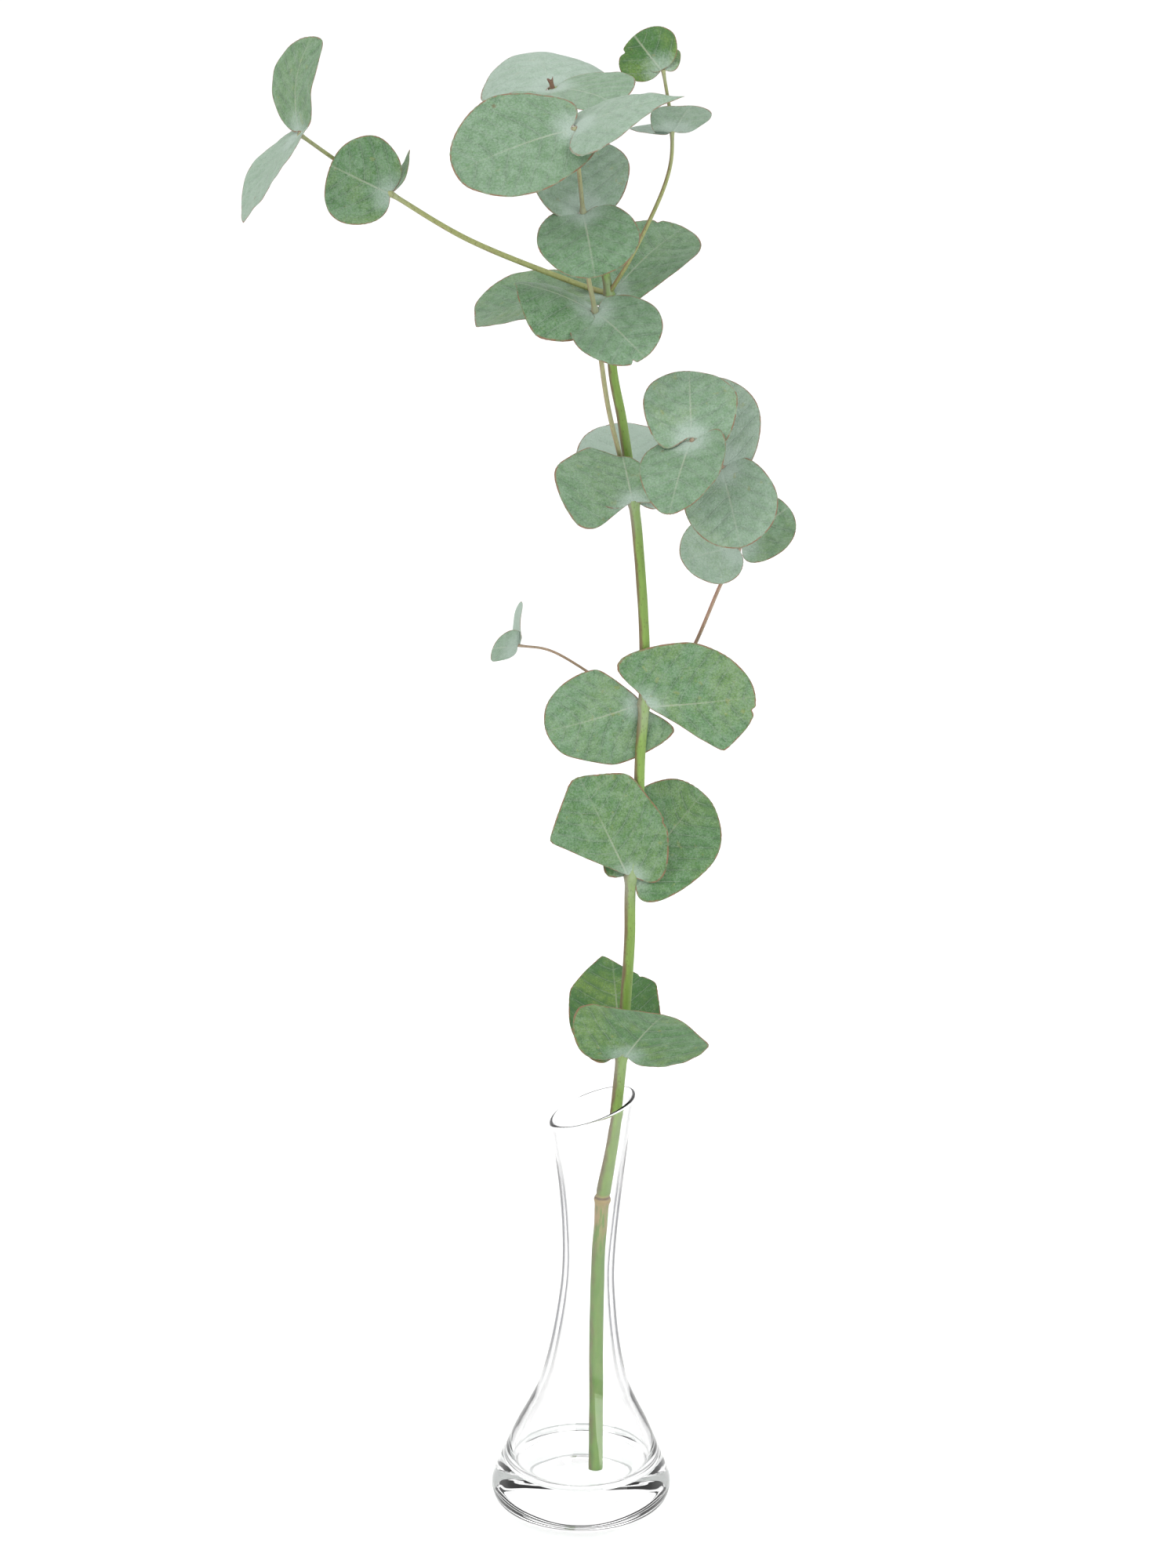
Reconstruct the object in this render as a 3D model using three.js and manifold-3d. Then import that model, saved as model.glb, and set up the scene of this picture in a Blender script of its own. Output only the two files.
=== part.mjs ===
// A cut branch of round-leaved eucalyptus standing in a small glass bud bottle.
// Millimetres, +Z up. The origin is the middle of the bottle's flat foot; -Y is the front.
import * as THREE from "three";
import { mergeVertices } from "three/addons/utils/BufferGeometryUtils.js";
import Module from "manifold-3d";

const wasm = await Module();
wasm.setup();

// Driving dimensions
const GAP = 0.3; // clear space kept between touching pieces
const LEAF_THICK = 0.7;
const SMALLEST_PIECE = 2; // mm3, cuttings smaller than this are dropped

// Bottle
const FOOT_RADIUS = 20.5; // flat ring and disc that it stands on
const RIM_HEIGHT = 144; // on the axis
const RIM_SLANT = 0.36; // the rim is cut on a slant: rise per mm towards +X
const SLANT_FROM = 96; // height where the slant starts to grow
const NECK_LEAN = 3.8; // how far the mouth stands off the foot's axis, towards +X
const WALL = 1.5; // glass thickness at the mouth
const FLOOR = 14; // top of the thick glass bottom
const BOTTLE_SIDES = 32;
const OUTSIDE = [
  [FOOT_RADIUS, 0], [25.4, 1.5], [28.6, 4.8], [30, 9.4], [28.9, 14], [25, 23.6], [21.8, 31], [17.8, 39],
  [14.5, 47], [11.4, 61], [9.4, 76], [8.7, 87], [9.1, 100], [10.3, 114], [11.9, 128], [13.2, 138],
];
const INSIDE = [
  [12.8, 140], [11.4, 130], [9.4, 116], [7.9, 102], [7.1, 88], [7.6, 77], [9.3, 63], [12, 49],
  [15.6, 39], [19.6, 30], [22.6, 22], [22.8, 18], [20.4, 14.8],
];

// Stems: the points that each runs through, as [x, y, z, radius], and where its leaves grow.
const STEMS = {
  main_stem: {
    sides: 8,
    steps: 44,
    route: [
      [5, -3.5, 14.4, 2.3], [5.1, -3, 36, 2.25], [5.1, -2, 64, 2.2], [5.8, -1.5, 92, 2.15],
      [6.6, -1.5, 103, 2.1], [7.2, -1.5, 112.5, 2.5], [9.9, -2, 128.6, 2], [11.7, -2, 144.4, 1.85],
      [13.4, -3, 163.5, 1.85], [14.8, -3.5, 184.2, 1.75], [15.9, -4, 203.4, 1.72], [16.2, -4, 225.2, 1.75],
      [18.4, -4, 243.7, 1.68], [19.2, -4, 267.6, 1.65], [20.3, -4, 283.7, 1.7], [20.4, -5, 305.8, 1.6],
      [18.8, -6, 332, 1.58], [16.9, -6, 351.4, 1.6], [13.2, -8, 378, 1.5], [10.1, -8, 395.4, 1.4],
      [9, -9, 419.3, 1.4], [4.1, -14, 441.8, 1.2], [-2.9, -20, 466.5, 1.1], [-8.4, -25, 487.5, 1],
    ],
    nodes: { first: 8, second: 11, third: 14, fourth: 17, fifth: 20, top: 23 },
  },
  front_shoot: {
    sides: 6,
    steps: 18,
    route: [
      [16.4, -7, 352, 0.8], [12.2, -15, 369.8, 0.75], [8.2, -28, 390.6, 0.75], [4.5, -48, 423.1, 0.75],
      [2.4, -54, 436, 0.7], [0.9, -62, 456.9, 0.65], [-1.6, -73, 484.7, 0.6],
    ],
    nodes: { front_low: 3, front_middle: 5, front_top: 6 },
  },
  right_shoot: {
    sides: 6,
    steps: 18,
    route: [
      [21, -2, 284, 0.7], [30.2, 6, 290.4, 0.65], [36.5, 2, 301.8, 0.6], [44.1, -14, 326, 0.6],
      [49.8, -27, 342.8, 0.6], [43.6, -47, 373.7, 0.55], [34, -62, 386.3, 0.5],
    ],
    nodes: { right_low: 4, right_middle: 5, right_top: 6 },
  },
  left_sprig: {
    sides: 6,
    steps: 10,
    route: [[19.6, -3, 284, 0.5], [8.7, 8, 286.9, 0.45], [-8.4, 5, 298.6, 0.42], [-20, 2, 301.8, 0.4]],
    nodes: { sprig: 3 },
  },
  left_shoot: {
    sides: 6,
    steps: 16,
    route: [
      [8.4, -8.6, 419.6, 0.9], [-2.5, -4, 422.2, 0.88], [-34.4, 0, 434.5, 0.85], [-59, 0, 449.3, 0.75],
      [-73.3, -2, 458.6, 0.65], [-87.4, -4, 469.2, 0.6],
    ],
    nodes: { left_near: 3, left_far: 5 },
  },
  upper_shoot: {
    sides: 6,
    steps: 14,
    route: [
      [9.2, -9.6, 420, 0.7], [17.1, -15, 435.1, 0.65], [26.7, -11, 456, 0.6], [28.4, -8, 470.7, 0.55],
      [25.6, -9, 490, 0.5],
    ],
    nodes: { upper_near: 3, upper_tip: 4 },
  },
};

// Leaves: reach runs from the base to the tip, face is the way the upper side looks, and side is
// the side of the stem that the leaf sits on, where it isn't the side it reaches to.
// lobes are the two ears beside the base, left and right as the upper side is looked at, tip up.
const LEAVES = {
  first: {
    front: {
      reach: [12.5, -16, 20.5], face: [0, 0.82, 0.58], wide: 47,
      egg: 0.1, lobes: [0.16, 0.2], cuts: [[34, 0.98]],
    },
    back: {
      reach: [-3, 31, 24.5], face: [0, -0.62, 0.79], wide: 35,
      lobes: [0.14, 0.05], cuts: [[-39, 0.6], [48, 0.72], [84, 0.78], [-88, 0.7]],
    },
  },
  second: {
    front: {
      reach: [-16.5, -3, 36.5], face: [-0.1, 0.96, -0.26], wide: 39,
      side: [-0.3, -1, 0], arch: -0.04, cup: -0.05, lobes: [0.19, 0],
      cuts: [[-45, 0.82], [22, 0.9], [80, 0.87], [-128, 0.57]],
    },
    back: {
      reach: [23, 27.5, 19.5], face: [0.35, -0.72, 0.6], wide: 34,
      side: [0.6, 1, 0], lobes: [0.2, 0.16],
    },
  },
  third: {
    left: {
      reach: [-31, 0, -9.5], face: [0.1, -0.99, -0.05], wide: 34,
      side: [-0.3, 1, 0], egg: 0.14, lobes: [0.34, 0.03], spread: 0.85,
      cuts: [[-148, 0.89], [60, 0.9]],
    },
    right: {
      reach: [35, -2, 4], face: [0.05, -1, 0.01], wide: 41,
      side: [0.5, -1, 0], egg: 0.22, lobes: [0.33, 0], spread: 0.85,
      cuts: [[-54, 0.96], [-126, 0.58]],
    },
  },
  fourth: {
    front: {
      reach: [-5, -16, 25.5], face: [0, 0.86, 0.51], wide: 45,
      egg: 0.28, lobes: [0.14, 0.36], spread: 0.8, cuts: [[38, 0.28]],
    },
    back: { reach: [-3, 31, 17.5], face: [0, -0.49, 0.87], wide: 34 },
  },
  fifth: {
    left: {
      reach: [-44, -0.5, -8.5], face: [-0.05, -0.15, 0.99], wide: 38,
      cup: 0.15, egg: -0.08, cuts: [[0, 0.84]],
    },
    right: { reach: [22.5, 20, 16.5], face: [-0.4, -0.58, 0.71], wide: 33, cup: 0.12, egg: -0.12 },
  },
  top: {
    back: {
      reach: [-6, 31.5, 5], face: [-0.08, -0.21, 0.97], wide: 40,
      cup: -0.38, lobes: [0.22, 0.2],
    },
    right: {
      reach: [18.5, -16.5, -1.5], face: [-0.1, -0.07, 0.99], wide: 38,
      lobes: [0.12, 0.5], spread: 0.55,
    },
  },
  left_far: {
    up: {
      reach: [4, 8, 28.5], face: [-0.87, -0.43, 0.24], wide: 32,
      sweep: 0.14, egg: -0.15, lobes: [0.02, 0],
    },
    down: {
      reach: [-16.5, -11.5, -25], face: [-0.83, -0.15, 0.54], wide: 35,
      egg: 0.28, lobes: [0.14, 0.14],
    },
  },
  left_near: {
    front: { reach: [-18.5, -8, 11], face: [-0.35, 0.94, -0.04], wide: 29, lobes: [0.08, 0.08] },
    back: { reach: [-1.5, 20.5, -1.5], face: [-0.78, -0.01, 0.63], wide: 27, egg: -0.1 },
  },
  upper_near: {
    front: { reach: [5.5, -12.5, 10.5], face: [-0.1, 0.68, 0.73], wide: 19 },
    back: { reach: [-8.5, 13.5, -1], face: [-0.05, -0.12, 0.99], wide: 18 },
  },
  upper_tip: {
    front: { reach: [-8.5, -0.5, 11], face: [-0.2, 0.98, 0], wide: 20, lobes: [0.06, 0.06] },
    back: { reach: [-2, 12, 4.5], face: [0, -0.41, 0.91], wide: 13 },
  },
  front_low: {
    left: {
      reach: [-22.5, 6.5, 7], face: [0, -0.2, 0.98], wide: 28,
      cup: -0.55, egg: 0.25, point: 0.06, lobes: [0.18, 0.18],
    },
    right: { reach: [14.5, -18, -10], face: [-0.1, -0.54, 0.84], wide: 28, lobes: [0.18, 0.18] },
  },
  front_middle: {
    back: { reach: [-2, 21.5, 18], face: [0, -0.63, 0.77], wide: 30, lobes: [0.14, 0.1] },
    front: { reach: [3.5, -23.5, -14.5], face: [-0.05, -0.48, 0.87], wide: 31 },
  },
  front_top: {
    left: { reach: [-35, -12, -11], face: [0.2, -0.65, 0.74], wide: 35, lobes: [0.16, 0.16] },
    right: {
      reach: [26.5, -1.5, 9], face: [-0.25, -0.15, 0.96], wide: 36,
      cup: -0.12, egg: 0.6, point: 0.2, lobes: [0.16, 0.14],
    },
  },
  sprig: {
    up: { reach: [1, 4, 13], face: [-0.94, -0.27, 0.2], wide: 9, egg: 0.2, lobes: [0.03, 0.03] },
    down: { reach: [-8, -8.5, 1.5], face: [-0.61, 0.67, 0.42], wide: 13, lobes: [0.08, 0.08] },
  },
  right_low: {
    left: { reach: [-17.5, -9, -2], face: [0.25, -0.75, 0.61], wide: 22, lobes: [0.05, 0.02] },
    right: { reach: [15, 3.5, 11.5], face: [-0.2, -0.82, 0.53], wide: 22 },
  },
  right_middle: {
    down: { reach: [5.5, -17, -20.5], face: [0, -0.77, 0.64], wide: 29 },
    up: { reach: [-4, 16, 24], face: [0, -0.83, 0.56], wide: 28 },
  },
  right_top: {
    up: { reach: [-0.5, 20, 16], face: [0, -0.62, 0.78], wide: 29, lobes: [0.24, 0.2], spread: 0.8 },
    down: {
      reach: [-7, -21.5, -17.5], face: [-0.25, -0.63, 0.73], wide: 25,
      egg: 0.3, lobes: [0.24, 0.05],
    },
  },
};
const PLAIN_LEAF = {
  lobes: [0.14, 0.14], // how far each ear reaches back past the base, in leaf lengths
  spread: 0.6, // where the ears are: from 0.5, close to the base, to 1, halfway to the sides
  ears: 2.2, // width of the slot between the ears, where the stem stands
  egg: 0.05, // above 0 the leaf is widest nearer its base
  point: 0, // a drawn-out tip, in leaf lengths
  sweep: 0, // sideways bow of the midrib, in leaf lengths
  arch: 0.05, // bulge along the midrib towards the upper side
  cup: 0.08, // lift of the two sides
  wave: 0.03, // rise and fall of the margin
  cuts: [], // straight torn or bitten edges, as [angle from the tip in degrees, distance from the middle]
};
const LEAF_ANGLES = 22; // corners round the outline
const LEAF_RINGS = [0.55, 1]; // rings from the middle to the margin
const ANGLE_CROWDING = 1.35; // draws the outline's corners together at the base

const materials = {
  glass: { color: 0xf4f7f8, roughness: 0.05, metalness: 0, transparent: true, opacity: 0.35 },
  stem: { color: 0x8ea66a, roughness: 0.6, metalness: 0 },
  twig: { color: 0xb0a078, roughness: 0.65, metalness: 0 },
  leaf: { color: 0x86a78c, roughness: 0.6, metalness: 0 },
};

function meshOf(name, geometry, finish) {
  const mesh = new THREE.Mesh(geometry, new THREE.MeshStandardMaterial(materials[finish]));
  mesh.name = name;
  return mesh;
}

function geometryOf(points, triangles) {
  const geometry = new THREE.BufferGeometry();
  geometry.setAttribute("position", new THREE.Float32BufferAttribute(points, 3));
  geometry.setIndex(triangles);
  return geometry;
}

function solidOf(geometry) {
  const bare = mergeVertices(geometry, 1e-4);
  return new wasm.Manifold(
    new wasm.Mesh({
      numProp: 3,
      vertProperties: Float32Array.from(bare.attributes.position.array),
      triVerts: Uint32Array.from(bare.index.array),
    }),
  );
}

// What is left of a piece once the tools are cut away: its largest body.
function cutBy(geometry, tools) {
  let solid = solidOf(geometry);
  for (const tool of tools) solid = solid.subtract(tool);
  const bodies = solid.decompose().filter((body) => body.volume() > SMALLEST_PIECE);
  bodies.sort((a, b) => b.volume() - a.volume());
  const { vertProperties, triVerts } = bodies[0].getMesh();
  return geometryOf(Array.from(vertProperties), Array.from(triVerts));
}

// Bottle: a closed profile turned about Z, then leaned and its rim slanted.
function bottleGeometry() {
  const rimMiddle = OUTSIDE.at(-1)[0] + 1.1 - WALL / 2;
  const profile = [
    [0, 0],
    ...OUTSIDE,
    [rimMiddle + WALL / 2, RIM_HEIGHT - 0.5],
    [rimMiddle, RIM_HEIGHT],
    [rimMiddle - WALL / 2, RIM_HEIGHT - 0.5],
    ...INSIDE,
    [17, FLOOR],
    [0, FLOOR],
  ].map(([radius, height]) => new THREE.Vector2(radius, height));
  const geometry = new THREE.LatheGeometry(profile, BOTTLE_SIDES).rotateX(Math.PI / 2);
  const place = geometry.attributes.position;
  for (let i = 0; i < place.count; i += 1) {
    const height = place.getZ(i);
    const grown = THREE.MathUtils.smoothstep(height, SLANT_FROM, RIM_HEIGHT);
    place.setZ(i, height + RIM_SLANT * place.getX(i) * grown);
    place.setX(i, place.getX(i) + NECK_LEAN * THREE.MathUtils.smoothstep(height, 0, RIM_HEIGHT));
  }
  geometry.deleteAttribute("normal");
  geometry.deleteAttribute("uv");
  return geometry;
}

function routeOf(stem) {
  const points = stem.route.map(([x, y, z]) => new THREE.Vector3(x, y, z));
  return new THREE.CatmullRomCurve3(points, false, "catmullrom", 0.5);
}

function radiusAt(stem, t) {
  const place = t * (stem.route.length - 1);
  const before = Math.min(Math.floor(place), stem.route.length - 2);
  return THREE.MathUtils.lerp(stem.route[before][3], stem.route[before + 1][3], place - before);
}

// Stem: rings of the local radius carried along the route, closed by flat ends.
function stemGeometry(stem, extra = 0) {
  const curve = routeOf(stem);
  const { sides, steps } = stem;
  const points = [];
  const triangles = [];
  let across = new THREE.Vector3(1, 0, 0);
  for (let i = 0; i <= steps; i += 1) {
    const t = i / steps;
    const along = curve.getTangent(t);
    across = across.clone().addScaledVector(along, -across.dot(along)).normalize();
    const up = along.clone().cross(across);
    const middle = curve.getPoint(t);
    if (i === 0) middle.addScaledVector(along, -extra);
    if (i === steps) middle.addScaledVector(along, extra);
    for (let k = 0; k < sides; k += 1) {
      const turn = (2 * Math.PI * k) / sides;
      const radius = (radiusAt(stem, t) + extra) / Math.cos(extra > 0 ? Math.PI / sides : 0);
      const corner = middle.clone().addScaledVector(across, radius * Math.cos(turn));
      corner.addScaledVector(up, radius * Math.sin(turn));
      points.push(...corner.toArray());
    }
  }
  for (let i = 0; i < steps; i += 1) {
    for (let k = 0; k < sides; k += 1) {
      const a = i * sides + k;
      const b = i * sides + ((k + 1) % sides);
      triangles.push(a, b, b + sides, a, b + sides, a + sides);
    }
  }
  const last = steps * sides;
  for (let k = 1; k < sides - 1; k += 1) {
    triangles.push(0, k + 1, k, last, last + k, last + k + 1);
  }
  return geometryOf(points, triangles);
}

// Leaf outline in the leaf's own plane, u along the midrib and v across it: an oval with two ears
// beside the base, measured round the middle of the leaf from the tip.
function leafOutline(leaf, long, angle) {
  const fromBase = Math.PI - Math.abs(angle);
  const ear = leaf.lobes[angle > 0 ? 0 : 1];
  const slot = Math.asin(leaf.ears / leaf.wide);
  const past = THREE.MathUtils.clamp((fromBase - slot) / (Math.PI / 2 - slot), 0, 1);
  const back = ear * Math.sin(Math.PI * past ** leaf.spread) ** 2;
  const tip = leaf.point * Math.max(0, 1 - Math.abs(angle) / 0.5) ** 2;
  let u = long * (0.5 * Math.cos(angle) - back + tip);
  let v = 0.5 * leaf.wide * Math.sin(angle) * (1 - leaf.egg * Math.cos(angle));
  for (const [turn, reach] of leaf.cuts) {
    const facing = THREE.MathUtils.degToRad(turn);
    const out = (u * Math.cos(facing) + v * Math.sin(facing)) / (0.5 * long);
    if (out > reach) {
      u *= reach / out;
      v *= reach / out;
    }
  }
  return [u, v];
}

// Height of the leaf's surface over its plane: arched, cupped and waved.
function leafHeight(leaf, long, u, v, angle, ring) {
  const along = u / long + 0.5;
  const across = (2 * v) / leaf.wide;
  const arched = leaf.arch * long * Math.sin(Math.PI * along);
  const cupped = leaf.cup * 0.5 * leaf.wide * across ** 2;
  const waved = leaf.wave * 0.5 * leaf.wide * ring ** 2 * Math.sin(3 * angle);
  return arched + cupped + waved;
}

function leafGeometry(spec, base, thick = LEAF_THICK) {
  const leaf = { ...PLAIN_LEAF, ...spec };
  const reach = new THREE.Vector3(...leaf.reach);
  const long = reach.length();
  const ahead = reach.clone().normalize();
  const up = new THREE.Vector3(...leaf.face);
  up.addScaledVector(ahead, -up.dot(ahead)).normalize();
  const left = up.clone().cross(ahead);
  const points = [];
  const triangles = [];
  const addPoint = (u, v, height) => {
    const bowed = v + leaf.sweep * long * Math.sin(Math.PI * THREE.MathUtils.clamp(u / long + 0.5, 0, 1));
    const place = base.clone().addScaledVector(ahead, u + 0.5 * long);
    place.addScaledVector(left, bowed).addScaledVector(up, height);
    points.push(...place.toArray());
  };
  for (const side of [0.5, -0.5]) {
    addPoint(0, 0, leafHeight(leaf, long, 0, 0, 0, 0) + side * thick);
    for (const ring of LEAF_RINGS) {
      for (let k = 0; k < LEAF_ANGLES; k += 1) {
        const share = (2 * k) / LEAF_ANGLES - 1;
        const angle = Math.sign(share) * Math.PI * (1 - (1 - Math.abs(share)) ** ANGLE_CROWDING);
        const [u, v] = leafOutline(leaf, long, angle).map((value) => value * ring);
        addPoint(u, v, leafHeight(leaf, long, u, v, angle, ring) + side * thick);
      }
    }
  }
  const layer = 1 + LEAF_RINGS.length * LEAF_ANGLES;
  for (let k = 0; k < LEAF_ANGLES; k += 1) {
    const next = (k + 1) % LEAF_ANGLES;
    triangles.push(0, 1 + k, 1 + next, layer, layer + 1 + next, layer + 1 + k);
    for (let ring = 1; ring < LEAF_RINGS.length; ring += 1) {
      const [inner, outer] = [1 + (ring - 1) * LEAF_ANGLES, 1 + ring * LEAF_ANGLES];
      triangles.push(inner + k, outer + k, outer + next, inner + k, outer + next, inner + next);
      const [a, b, c, d] = [inner + k, outer + k, outer + next, inner + next].map((i) => i + layer);
      triangles.push(a, c, b, a, d, c);
    }
    const rim = 1 + (LEAF_RINGS.length - 1) * LEAF_ANGLES;
    const [a, b, c, d] = [rim + k, rim + next, layer + rim + next, layer + rim + k];
    triangles.push(a, d, c, a, c, b);
  }
  return geometryOf(points, triangles);
}

const branch = new THREE.Group();
branch.add(meshOf("bottle", bottleGeometry(), "glass"));

// Stems: the side shoots are cut back where they leave the main stem.
const clearances = [];
for (const [name, stem] of Object.entries(STEMS)) {
  const isMain = name === "main_stem";
  const geometry = isMain ? stemGeometry(stem) : cutBy(stemGeometry(stem), clearances);
  branch.add(meshOf(name, geometry, isMain ? "stem" : "twig"));
  clearances.push(solidOf(stemGeometry(stem, GAP)));
}

// Leaves: two to a node, one on each side of the stem, clear of the stems and of each other.
for (const stem of Object.values(STEMS)) {
  const curve = routeOf(stem);
  for (const [node, index] of Object.entries(stem.nodes)) {
    const t = index / (stem.route.length - 1);
    const along = curve.getTangent(t);
    for (const [which, leaf] of Object.entries(LEAVES[node])) {
      const side = new THREE.Vector3(...(leaf.side ?? leaf.reach));
      side.addScaledVector(along, -side.dot(along)).normalize();
      const base = curve.getPoint(t).addScaledVector(side, radiusAt(stem, t) + GAP + LEAF_THICK / 2);
      branch.add(meshOf(`leaf_${node}_${which}`, cutBy(leafGeometry(leaf, base), clearances), "leaf"));
      clearances.push(solidOf(leafGeometry(leaf, base, LEAF_THICK + 2 * GAP)));
    }
  }
}

export default branch;
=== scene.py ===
"""A cut branch of round-leaved eucalyptus standing in a small glass bud bottle.

Lengths are in millimetres until they go into a mesh. +Z is up, -Y is the front, and the origin is
the middle of the bottle's foot.
"""

import math

import bpy
import numpy as np
from mathutils import Matrix


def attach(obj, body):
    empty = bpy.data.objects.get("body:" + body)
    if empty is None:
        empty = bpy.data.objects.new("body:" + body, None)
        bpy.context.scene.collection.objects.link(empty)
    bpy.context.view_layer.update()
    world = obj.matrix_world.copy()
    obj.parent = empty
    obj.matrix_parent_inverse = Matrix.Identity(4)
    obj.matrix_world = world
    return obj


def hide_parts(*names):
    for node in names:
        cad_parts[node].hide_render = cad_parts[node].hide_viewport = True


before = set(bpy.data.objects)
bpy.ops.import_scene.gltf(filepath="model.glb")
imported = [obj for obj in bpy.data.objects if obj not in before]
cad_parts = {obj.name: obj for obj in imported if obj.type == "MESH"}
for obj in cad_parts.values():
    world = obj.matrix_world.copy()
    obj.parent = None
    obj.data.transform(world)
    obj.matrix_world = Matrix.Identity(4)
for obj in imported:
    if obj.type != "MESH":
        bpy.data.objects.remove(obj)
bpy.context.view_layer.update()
MM = 0.001
BODY = "root"

# Camera, in mm
TARGET = (2.4, 0, 255.7)
CAMERA_DISTANCE = 1800
CAMERA_ELEVATION = 18  # degrees
LENS = 128
SENSOR = 36  # along its longer side

# Bottle: half profiles as (radius, height), from the foot up and from the lip down
RIM_HEIGHT = 144
RIM_SLANT = 0.36  # rise of the rim per mm towards +X
SLANT_FROM = 96  # height where the slant begins
NECK_LEAN = 3.8  # shift of the rim towards +X
FOOT = [(0, 1.6), (8, 1.35), (14.5, 0.75), (18.4, 0.1), (20.5, 0)]
OUTSIDE = [
    (25.4, 1.5), (28.6, 4.8), (30, 9.4), (28.9, 14), (25, 23.6), (21.8, 31), (17.8, 39), (14.5, 47),
    (11.4, 61), (9.4, 76), (8.7, 87), (9.1, 100), (10.3, 114), (11.9, 128), (13.2, 138),
]
LIP = [(13.9, 142.2), (14.15, 143.4), (13.75, 144.1), (13.1, 143.9), (12.75, 142.6)]
INSIDE = [
    (12.4, 139), (11.4, 130), (9.4, 116), (7.9, 102), (7.1, 88), (7.6, 77), (9.3, 63), (12, 49), (15.6, 39),
    (19.6, 30), (22.6, 22), (22.8, 18), (20.4, 14.8), (13, 13.9), (6, 14), (0, 14.2),
]
BOTTLE_SIDES = 160
STEPS_PER_STRETCH = 8  # rings between two points of a profile
# Painted dark reflection on the glass where it is seen edge-on, as bands of height in mm: from, to, and the
# shares below and above
DARK_REFLECTION_BANDS = [(5, 13, 0.3, 1), (35, 65, 0.45, 1), (112, 130, 1, 0.42)]
# The same painted dark reflection at the lip, by height over the rim's plane
LIP_DARK_REFLECTION = (RIM_HEIGHT - 2.4, RIM_HEIGHT - 1.2, 1, 0.4)
CLEAR = (1, 1, 1, 1)
# Colour of the painted dark reflection on the glass's edges
PAINTED_REFLECTION_DARK = (0.01, 0.011, 0.016, 1)
LIGHT_THROUGH = (0.9, 0.92, 0.91, 1)  # what the glass leaves of the lamps' light

# Stems: the points that each runs through, as (x, y, z, radius), the points where its leaves grow, a
# direction that its rings are lined up with, its bark, and how much it swells at a node
STEMS = {
    "main_stem": {
        "route": [
            (5, -3.5, 14.6, 2.3), (5.1, -3, 36, 2.25), (5.1, -2, 64, 2.2), (5.8, -1.5, 92, 2.15),
            (6.6, -1.5, 103, 2.1), (7.2, -1.5, 112.5, 2.3), (9.9, -2, 128.6, 2), (11.7, -2, 144.4, 1.85),
            (13.4, -3, 163.5, 1.85), (14.8, -3.5, 184.2, 1.75), (15.9, -4, 203.4, 1.72),
            (16.2, -4, 225.2, 1.75), (18.4, -4, 243.7, 1.68), (19.2, -4, 267.6, 1.65),
            (20.3, -4, 283.7, 1.7), (20.4, -5, 305.8, 1.6), (18.8, -6, 332, 1.58), (16.9, -6, 351.4, 1.6),
            (13.2, -8, 378, 1.5), (10.1, -8, 395.4, 1.4), (9, -9, 419.3, 1.4), (4.1, -14, 441.8, 1.2),
            (-2.9, -20, 466.5, 1.1), (-8.4, -25, 487.5, 1),
        ],
        "nodes": {"first": 8, "second": 11, "third": 14, "fourth": 17, "fifth": 20, "top": 23},
        "brace": (1, 0, 0), "bark": "main stem bark", "swell": 0.42,
    },
    "front_shoot": {
        "route": [
            (16.4, -7, 352, 0.8), (12.2, -15, 369.8, 0.75), (8.2, -28, 390.6, 0.75),
            (4.5, -48, 423.1, 0.75), (2.4, -54, 436, 0.7), (0.9, -62, 456.9, 0.65), (-1.6, -73, 484.7, 0.6),
        ],
        "nodes": {"front_low": 3, "front_middle": 5, "front_top": 6},
        "brace": (1, 0, 0), "bark": "tan twig bark", "swell": 0.36,
    },
    "right_shoot": {
        "route": [
            (21, -2, 284, 0.7), (30.2, 6, 290.4, 0.65), (36.5, 2, 301.8, 0.6), (44.1, -14, 326, 0.6),
            (49.8, -27, 342.8, 0.6), (43.6, -47, 373.7, 0.55), (34, -62, 386.3, 0.5),
        ],
        "nodes": {"right_low": 4, "right_middle": 5, "right_top": 6},
        "brace": (1, 0, 0), "bark": "pink twig bark", "swell": 0.2,
    },
    "left_sprig": {
        "route": [
            (19.6, -3, 284, 0.5), (8.7, 8, 286.9, 0.45), (-8.4, 5, 298.6, 0.42), (-20, 2, 301.8, 0.4),
        ],
        "nodes": {"sprig": 3},
        "brace": (0, 1, 0), "bark": "pink twig bark", "swell": 0.12,
    },
    "left_shoot": {
        "route": [
            (8.4, -8.6, 419.6, 0.9), (-2.5, -4, 422.2, 0.88), (-34.4, 0, 434.5, 0.85),
            (-59, 0, 449.3, 0.75), (-73.3, -2, 458.6, 0.65), (-87.4, -4, 469.2, 0.6),
        ],
        "nodes": {"left_near": 3, "left_far": 5},
        "brace": (0, 1, 0), "bark": "green twig bark", "swell": 0.25,
    },
    "upper_shoot": {
        "route": [
            (9.2, -9.6, 420, 0.7), (17.1, -15, 435.1, 0.65), (26.7, -11, 456, 0.6), (28.4, -8, 470.7, 0.55),
            (25.6, -9, 490, 0.5),
        ],
        "nodes": {"upper_near": 3, "upper_tip": 4},
        "brace": (1, 0, 0), "bark": "green twig bark", "swell": 0.2,
    },
}
STEM_SIDES = 28
STEM_STEP = 0.6  # mm from ring to ring
TANGENT_STEP = 1e-4  # share of the route to each side of a point that its direction is taken from
NODE_LENGTH = 1.7  # mm, for the swelling
RIDGE_LENGTH = 0.35  # mm, for the narrow ridge on it
NODE_WAX_LENGTH = 9  # mm, for the wax round it
SCAR_HEIGHT = 112
STUB_HEIGHT = 3.6
STUB_RINGS = 24
STUB_BARK = (0, 0.3, 0)  # the bark attribute all over the stub

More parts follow.
